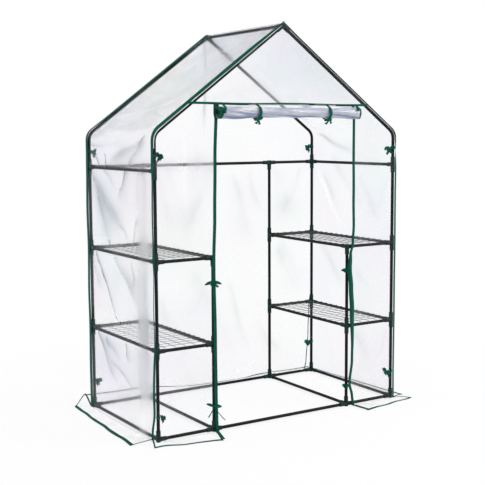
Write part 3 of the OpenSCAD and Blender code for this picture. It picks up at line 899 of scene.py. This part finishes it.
def bind_seam(trim, side, end):
    """The tape of a seam. It lies flat on the film, and is wider, at the back left."""
    swaying = (side, end) == (LEFT, FRONT)
    wide = 2.1 if (side, end) == (LEFT, BACK) else 1.0
    foot = 0.020 if swaying else 0.004

    def lie(v):
        """Length up the cover, the outward direction there and the tilt of the tape."""
        run = foot + v * (COVER_RUN - foot)
        _, _, nx, nz = cover_line(run)
        sway = (0.12 if swaying else 0.03) * np.sin(7 * run)
        return run, -side * nx, nz, np.radians(through(BINDING_TILTS[side, end], run)) + sway

    def across(v):
        _, nx, nz, tilt = lie(v)
        return wide * nx * np.cos(tilt), -end * wide * np.sin(tilt), wide * nz * np.cos(tilt)

    def path(v):
        run, nx, nz, tilt = lie(v)
        x, y, z = seam_line(run, side, end)
        half = trim.binding_width * wide / 2
        out = half * np.cos(tilt) + 0.002 * np.abs(np.sin(tilt))
        loose = through(LOOSE[end], run) * (side == RIGHT)
        y = y - end * (half * np.sin(tilt) - 0.0015 - 0.1 * loose)
        return x + nx * out - loose, y, z + nz * out

    return strip("binding", round(COVER_RUN / TAPE_STEP), path, across, trim.binding_width,
                 trim.thickness)


class GREENHOUSE_OT_bind_edges(bpy.types.Operator):
    """Bind the seams along the front and back edges of the cover with folded tape"""
    bl_idname = "greenhouse.bind_edges"
    bl_label = "Bind edges"

    def execute(self, context):
        trim = context.scene.greenhouse_trim
        for end, word in ((FRONT, "front"), (BACK, "back")):
            tapes = [bind_seam(trim, side, end) for side in (LEFT, RIGHT)]
            sew(trim, f"{word}_edge_binding", tapes, f"{word}_edge_piping")
        # The white strip beside the front left binding is a painted highlight of the film round the tube
        white = clear_film(context.scene.greenhouse_film, "welded_vinyl_film", 0.9, 0.1, 0.9,
                           linear("#FFFFFF"), linear("#DADDE6"))
        settle(highlight_strip(), white, "clear_film")
        return {"FINISHED"}


def sew_head(trim):
    """Sews the tape over the doorway."""
    half = SEAM_HALF + 0.006

    def path(v):
        x = half * (2 * v - 1) - 0.016 * v
        return x, -END_Y - 0.002 - 0.0015 * np.sin(9 * x), SEAM_Z + 0.0015 * np.sin(11 * x + 1)

    tape = strip("door_head_tape", round(2 * half / TAPE_STEP), path, (0, -0.1, 1), 0.011,
                 trim.thickness)
    sew(trim, "door_head_tape", [tape], "door_head_piping")


def zip_line(side):
    """The zip's line down a side of the doorway, and out over the flap's edge on the ground."""
    flap = FLAPS["front_left_flap"] if side == LEFT else FLAPS["front_right_flap"]
    foot, tip = (flap[1], flap[3]) if side == LEFT else (flap[0], flap[2])

    def path(v):
        fall = SEAM_Z - ZIP_GAP
        reach = math.dist(foot, tip) + 0.006
        run = v * (fall + reach)
        down = np.minimum(run, fall)
        out = np.clip(run - fall, 0, None) / reach
        z = SEAM_Z - down
        x = through(DOOR_KEYS[side], z) + out * (tip[0] - foot[0])
        bend = 0.008 * ease((run - fall + 0.05) / 0.05)
        y = -END_Y - 0.0035 + out * (tip[1] - foot[1]) - bend * (out < 1e-6)
        y = y - 0.004 * np.sin(5.5 * z + side) ** 2 * ease(z / 0.2)
        return x, y, z + 0.0035 * ease(out * 8)

    return path


def zip_tape(trim, side):
    """A zip tape. The left one is doubled over, and wider, just under the seam, and the right one by
    the lower shelf."""
    def across(v):
        if side == LEFT:
            doubled = ease((0.045 - v) / 0.02)
        else:
            doubled = ease((v - 0.44) / 0.05) * ease((0.76 - v) / 0.14)
        return 1 + 0.8 * doubled, 0, 0

    return strip("zip", 190, zip_line(side), across, trim.zip_width, trim.thickness)


def zip_teeth(trim, side):
    """A row of teeth, made as one and repeated, then moved onto the zip's line."""
    path = zip_line(side)
    length = SEAM_Z - 0.03
    deselect()
    bpy.ops.mesh.primitive_cube_add(size=1, scale=(0.0042, 0.0018, trim.tooth_pitch * 0.62))
    teeth = bpy.context.object
    in_edit_mode(teeth, (bpy.ops.mesh.bevel, {"offset": 0.0004, "segments": 1}))
    apply_modifier(teeth, "ARRAY", count=round(length / trim.tooth_pitch), use_relative_offset=False,
                   use_constant_offset=True, constant_offset_displace=(0, 0, trim.tooth_pitch))
    points = np.array([v.co for v in teeth.data.vertices])
    whole = length / (SEAM_Z - ZIP_GAP) * 0.93
    x, y, z = path((1 - points[:, 2] / length) * whole)
    edge = -side * (trim.zip_width * 0.5 - 0.001)
    moved = np.stack([x + edge + points[:, 0], y - 0.0012 + points[:, 1], z], axis=1)
    teeth.data.vertices.foreach_set("co", moved.ravel())
    teeth.data.update()
    return teeth


class GREENHOUSE_OT_sew_doorway(bpy.types.Operator):
    """Sew the tape over the doorway, and the zip tapes with their teeth down each side of it"""
    bl_idname = "greenhouse.sew_doorway"
    bl_label = "Sew doorway"

    def execute(self, context):
        trim = context.scene.greenhouse_trim
        sew_head(trim)
        tapes = [zip_tape(trim, side) for side in (LEFT, RIGHT)]
        sew(trim, "door_zip_tapes", tapes, "door_tapes")
        teeth = [zip_teeth(trim, side) for side in (LEFT, RIGHT)]
        settle(join("door_zip_teeth", teeth), moulded_plastic(context.scene.greenhouse_frame), "green_trim")
        return {"FINISHED"}


def packed_roll():
    """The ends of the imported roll, its radius, and the y and z of its axis."""
    low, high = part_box("rolled_door")
    radius = (high.y - low.y) / 2
    return low, high, radius, (low.y + high.y) / 2, low.z + radius


class GREENHOUSE_OT_roll_door(bpy.types.Operator):
    """Roll up the door under the seam over the doorway"""
    bl_idname = "greenhouse.roll_door"
    bl_label = "Roll up door"

    def execute(self, context):
        film, trim = context.scene.greenhouse_film, context.scene.greenhouse_trim
        low, high, radius, centre_y, centre_z = packed_roll()
        width = high.x - low.x
        core = 0.006
        door_run = SEAM_Z
        hang = SEAM_Z - centre_z
        pitch = math.pi * (radius ** 2 - core ** 2) / door_run
        rows = round((radius - core) / pitch * TURN_ROWS)

        def place(across, along, lift=0.0):
            """across is from 0 to 1 along the roll, and along from 0 at the seam to 1 in the middle of
            the roll."""
            run = along * (hang + door_run)
            wound = np.clip(run - hang, 0, None) / door_run
            r = np.sqrt(radius ** 2 - wound * (radius ** 2 - core ** 2))
            angle = 2 * math.pi * (radius - r) / pitch
            x = low.x + across * width - 0.034 * (0.45 - wound) * (1 - 0.6 * across)
            streak = ripple(angle * radius + 0.09 * x, x, 61, 0.021, 13.0, 8)
            loose = ripple(x, 0 * x, 62, 0.3) + 0.8 * ripple(x, angle * radius, 63, 0.16, 0.4)
            r = r + lift + (0.0018 * streak + 0.0030 * loose) * (1 - wound)
            y = centre_y + r * np.cos(angle)
            z = centre_z - r * np.sin(angle) + np.clip(hang - run, 0, None)
            # The roll is darker at its lower front: painted shade
            painted_low_shade = np.clip(np.cos(angle - 2.25), 0, 1) ** 2
            return x, y, z, 0.7 * np.clip(1.5 * streak - 0.2, 0, 1) + 0.28 * painted_low_shade

        # The film's many layers look white with lilac streaks, and lilac at the lower front, which is
        # painted shade
        layers = clear_film(film, "rolled_vinyl_film", 0.15, 0.35, 0.9,
                            linear("#FBFCFE"), linear("#7F8CB4"))
        roll = mapped_grid("rolled_door_sheet", ROLL_COLUMNS, rows, place, (0, 0, 1),
                           (width, door_run + hang))
        settle(roll, layers, "clear_film", "rolled_door")
        tape = trim.zip_width / width
        bands = []
        for start, share in ((-0.002, 1.3), (1.002 - 0.5 * tape, 0.5)):
            def edge(u, v, start=start, share=share):
                return place(start + u * share * tape, v, 0.0004)

            size = trim.zip_width * share, door_run + hang
            bands.append(mapped_grid("band", 2, rows, edge, (0, 0, 1), size))
        band = sew(trim, "rolled_door_zip_edges", bands)
        return {"FINISHED"}


class GREENHOUSE_OT_tie_roll(bpy.types.Operator):
    """Tie up the roll with two tapes that hang from the seam"""
    bl_idname = "greenhouse.tie_roll"
    bl_label = "Tie up roll"

    def execute(self, context):
        trim = context.scene.greenhouse_trim
        low, high, radius, centre_y, centre_z = packed_roll()
        tie_low, tie_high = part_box("roll_ties")
        pieces = []
        # Two ties with knots, and a strap near each end of the roll
        for x, width, reach in ((tie_low.x + trim.zip_width / 2, 0.016, 285),
                                (tie_high.x - trim.zip_width / 2, 0.016, 285),
                                (low.x + 0.012, 0.014, 90), (high.x - 0.022, 0.018, 60)):
            def path(v, x=x, reach=reach):
                grip = radius + 0.006
                start = math.radians(75 if reach > 180 else 100)
                angle = start + v * math.radians(reach)
                y = centre_y + grip * np.cos(angle)
                z = centre_z + grip * np.sin(angle)
                up = ease((0.12 - v) / 0.12)
                return x + 0.004 * np.sin(5 * v), y - up * 0.004, z + up * (SEAM_Z - centre_z - grip)

            pieces.append(strip("loop", 44, path, (1, 0, 0), width, trim.thickness))
            if reach > 180:
                knot = Matrix.Translation((x, centre_y - 0.012, centre_z - radius - 0.006))
                pieces.append(tie_bow(trim, knot, 0.022, 0.022, round(1000 * abs(x))))
        sew(trim, "roll_tie_tapes", pieces, "roll_ties")
        return {"FINISHED"}


def tie_bow(trim, matrix, loop, tail, seed, wide=1.0):
    """A bow of tie tape: two leaf-shaped loops, two tails and the knot, with its front towards -Y. wide
    is how much broader than a tie its tape is."""
    rng = np.random.default_rng(seed)
    tape = trim.tie_width * wide
    pieces = []
    for side in (LEFT, RIGHT):
        reach, rise = loop * rng.uniform(0.85, 1.15), rng.uniform(-0.15, 0.5)
        lean = rng.uniform(-0.35, 0.35)

        def loop_path(v, side=side, reach=reach, rise=rise):
            swing = 2 * math.pi * v
            out = reach * (1 - np.cos(swing)) / 2
            return side * (out + 0.002), -0.002 - 0.005 * np.sin(swing), rise * out - 4 * out ** 2

        def loop_across(v, lean=lean):
            share = (1 - np.cos(2 * math.pi * v)) / 2
            gather = 0.4 + 0.75 * np.sin(math.pi * share ** 0.85)
            return 0, gather * math.sin(lean), gather * math.cos(lean)

        pieces.append(strip("loop", 20, loop_path, loop_across, tape, TIE_THICKNESS))
        length, spread = tail * rng.uniform(0.7, 1.25), rng.uniform(0.15, 0.75)
        curl = rng.uniform(-0.006, 0.006)

        def tail_path(v, side=side, length=length, spread=spread, curl=curl):
            return (side * (0.002 + spread * length * v ** 1.3), -0.003 + curl * np.sin(3.5 * v),
                    -0.002 - length * (1 - 0.3 * spread) * v)

        def tail_across(v, side=side, spread=spread, length=length):
            gather = (0.5 + 0.5 * ease(v * 3)) * min(1.0, 0.026 / length)
            turn = side * spread * 0.7 * v
            return gather * np.cos(turn), gather * 0.45 * np.sin(4 * v), gather * np.sin(turn)

        pieces.append(strip("tail", 12, tail_path, tail_across, tape, TIE_THICKNESS))
    deselect()
    bpy.ops.mesh.primitive_cube_add(size=1, scale=(0.009, 0.008, 0.011), location=(0, -0.002, 0))
    knot = bpy.context.object
    bpy.ops.object.transform_apply(location=True, rotation=True, scale=True)
    in_edit_mode(knot, (bpy.ops.mesh.subdivide, {"number_cuts": 2}),
                 (bpy.ops.transform.tosphere, {"value": 0.55}))
    bpy.ops.object.shade_smooth()
    pieces.append(knot)
    bow = join("bow", pieces)
    bow.data.transform(matrix)
    return bow


def tie_post(trim, x, y, z, facing, loop, tail, seed, off=0.004, wide=1.0):
    """A bow that is tied round a post, off its surface, facing that way about the upright."""
    grip = TUBE_R + 0.0011

    def ring(v):
        angle = 2 * math.pi * v
        return grip * np.cos(angle), grip * np.sin(angle), 0.0015 * np.sin(angle)

    band = strip("band", 24, ring, (0, 0, 1), trim.tie_width * 0.8, TIE_THICKNESS)
    in_edit_mode(band, (bpy.ops.mesh.remove_doubles, {"threshold": MERGE}))
    bow = tie_bow(trim, Matrix.Translation((0, -TUBE_R - off, 0)), loop, tail, seed, wide)
    whole = join("bow", [band, bow])
    whole.data.transform(Matrix.Translation((x, y, z)) @ Matrix.Rotation(facing, 4, "Z"))
    return whole


class GREENHOUSE_OT_tie_bows(bpy.types.Operator):
    """Tie the cover to the posts with bows"""
    bl_idname = "greenhouse.tie_bows"
    bl_label = "Tie bows"

    def execute(self, context):
        trim = context.scene.greenhouse_trim
        corner_bows, door_bows = [], []
        heights = {(LEFT, FRONT): (1.326, 0.114), (LEFT, BACK): (1.334, 0.139),
                   (RIGHT, FRONT): (1.341, 0.146), (RIGHT, BACK): (1.341, 0.183)}
        corners = [(*corner, z) for corner in heights for z in heights[corner]]
        for number, (side, end, z) in enumerate(corners):
            facing = -side * math.pi / 2 + 0.15 * math.sin(5 * number)
            place = side * POST_X, end * POST_Y, z
            corner_bows.append(tie_post(trim, *place, facing, 0.032, 0.030, 10 + number, 0.014, 1.5))
        for side, z, facing, loop, tail, seed in (
                (LEFT, 0.728, -0.35, 0.036, 0.024, 72), (LEFT, 0.127, -0.35, 0.034, 0.075, 141),
                (RIGHT, 0.724, -0.9, 0.022, 0.020, 72), (RIGHT, 0.112, -0.9, 0.018, 0.016, 11)):
            door_bows.append(tie_post(trim, side * INNER_X, -POST_Y, z, facing, loop, tail, seed))
        sew(trim, "corner_tie_bows", corner_bows)
        sew(trim, "door_tie_bows", door_bows)
        return {"FINISHED"}


def seen_directly(add):
    """1 for what the camera sees itself, in a reflection or through the film, and 0 for light on things."""
    path = add("LightPath")
    seen = path.outputs["Is Camera Ray"]
    for word in ("Glossy", "Transmission"):
        seen = add("Math", {}, {0: seen, 1: path.outputs[f"Is {word} Ray"]}, operation="MAXIMUM")
    return seen


def lay_floor():
    """Lays the pale floor."""
    deselect()
    bpy.ops.mesh.primitive_plane_add(size=60, location=(0, 0, -0.0003))
    floor = bpy.context.object
    floor.name = "studio_floor"
    material = bpy.data.materials.new("pale_studio_floor")
    add = blank(material)
    # The floor keeps a faint shadow round the object, and whitens to the backdrop further off
    away = add("VectorMath", {}, {0: add("TexCoord").outputs["Object"]}, operation="LENGTH")
    white_out = add("MapRange", {"From Min": 0.8, "From Max": 2.2, "To Min": 0.82, "To Max": 1.0},
                    {"Value": away})
    part = add("Math", {}, {0: seen_directly(add), 1: white_out}, operation="MULTIPLY")
    matt = add("BsdfDiffuse", {"Color": (*linear("#F8F8F8"), 1)})
    white = add("Emission", {"Color": (1, 1, 1, 1), "Strength": 1.0})
    mix = add("MixShader", {}, {0: part, 1: matt, 2: white})
    add("OutputMaterial", links={"Surface": mix})
    floor.data.materials.append(material)


def set_world(scene, stage):
    """Lights the scene evenly from all round."""
    scene.world = bpy.data.worlds.new("even_studio_light")
    add = blank(scene.world)
    level = add("MapRange", {"To Min": stage.sky, "To Max": 1.0}, {"Value": seen_directly(add)})
    back = add("Background", {"Color": (1, 1, 1, 1)}, {"Strength": level})
    add("OutputWorld", links={"Surface": back})


def hang_lamps(stage):
    """Hangs two soft lamps, which face the middle of the object."""
    for name, place, size, power in (("key_lamp", (3.6, -3.4, 4.2), 2.6, stage.key),
                                     ("fill_lamp", (-4.0, 1.5, 4.0), 3.0, stage.key * 0.35)):
        deselect()
        bpy.ops.object.light_add(type="AREA", location=place)
        lamp = bpy.context.object
        lamp.name = name
        lamp.data.size = size
        lamp.data.energy = power
        lamp.rotation_euler = (Vector((0, 0, 1.0)) - Vector(place)).to_track_quat("-Z", "Y").to_euler()


def place_camera(scene, stage):
    """Puts the camera where the photo was taken from."""
    deselect()
    bpy.ops.object.camera_add()
    camera = bpy.context.object
    camera.name = "photo_camera"
    turn, tilt, roll = stage.azimuth, stage.elevation, stage.roll
    back = Vector((math.sin(turn) * math.cos(tilt), -math.cos(turn) * math.cos(tilt), math.sin(tilt)))
    right = Vector((math.cos(turn), math.sin(turn), 0))
    up = back.cross(right)
    across = right * math.cos(roll) + up * math.sin(roll)
    upward = up * math.cos(roll) - right * math.sin(roll)
    facing = Matrix((across, upward, back)).transposed().to_4x4()
    camera.matrix_world = Matrix.Translation(stage.camera_place) @ facing
    camera.data.sensor_width = 36
    camera.data.lens = stage.lens
    camera.data.clip_end = 100
    scene.camera = camera


class GREENHOUSE_OT_set_stage(bpy.types.Operator):
    """Set the floor, the light and the camera"""
    bl_idname = "greenhouse.set_stage"
    bl_label = "Set stage"

    def execute(self, context):
        scene, stage = context.scene, context.scene.greenhouse_stage
        scene.view_settings.view_transform = "Standard"
        scene.cycles.transparent_max_bounces = 40
        lay_floor()
        set_world(scene, stage)
        hang_lamps(stage)
        place_camera(scene, stage)
        return {"FINISHED"}


STEPS = (
    GREENHOUSE_OT_coat_tubes, GREENHOUSE_OT_dip_wires, GREENHOUSE_OT_mould_connectors,
    GREENHOUSE_OT_hang_side_films, GREENHOUSE_OT_hang_back_film, GREENHOUSE_OT_hang_front_films,
    GREENHOUSE_OT_lay_flaps, GREENHOUSE_OT_bind_edges, GREENHOUSE_OT_sew_doorway,
    GREENHOUSE_OT_roll_door, GREENHOUSE_OT_tie_roll, GREENHOUSE_OT_tie_bows, GREENHOUSE_OT_set_stage,
)
SETTINGS = {
    "greenhouse_frame": FrameSettings,
    "greenhouse_film": FilmSettings,
    "greenhouse_trim": TrimSettings,
    "greenhouse_stage": StageSettings,
}


class GREENHOUSE_PT_steps(bpy.types.Panel):
    """Lists the steps that dress the frame"""
    bl_idname = "GREENHOUSE_PT_steps"
    bl_label = "Film greenhouse"
    bl_space_type = "VIEW_3D"
    bl_region_type = "UI"
    bl_category = "Greenhouse"

    def draw(self, context):
        for name, kind in SETTINGS.items():
            box = self.layout.box()
            for setting in kind.__annotations__:
                box.prop(getattr(context.scene, name), setting)
        for step in STEPS:
            self.layout.operator(step.bl_idname)


def register():
    for kind in (*SETTINGS.values(), *STEPS, GREENHOUSE_PT_steps):
        bpy.utils.register_class(kind)
    for name, kind in SETTINGS.items():
        setattr(bpy.types.Scene, name, bpy.props.PointerProperty(type=kind))


def unregister():
    for name in SETTINGS:
        delattr(bpy.types.Scene, name)
    for kind in reversed((*SETTINGS.values(), *STEPS, GREENHOUSE_PT_steps)):
        bpy.utils.unregister_class(kind)


def main():
    register()
    for step in STEPS:
        family, name = step.bl_idname.split(".")
        getattr(getattr(bpy.ops, family), name)()


if __name__ == "__main__":
    main()
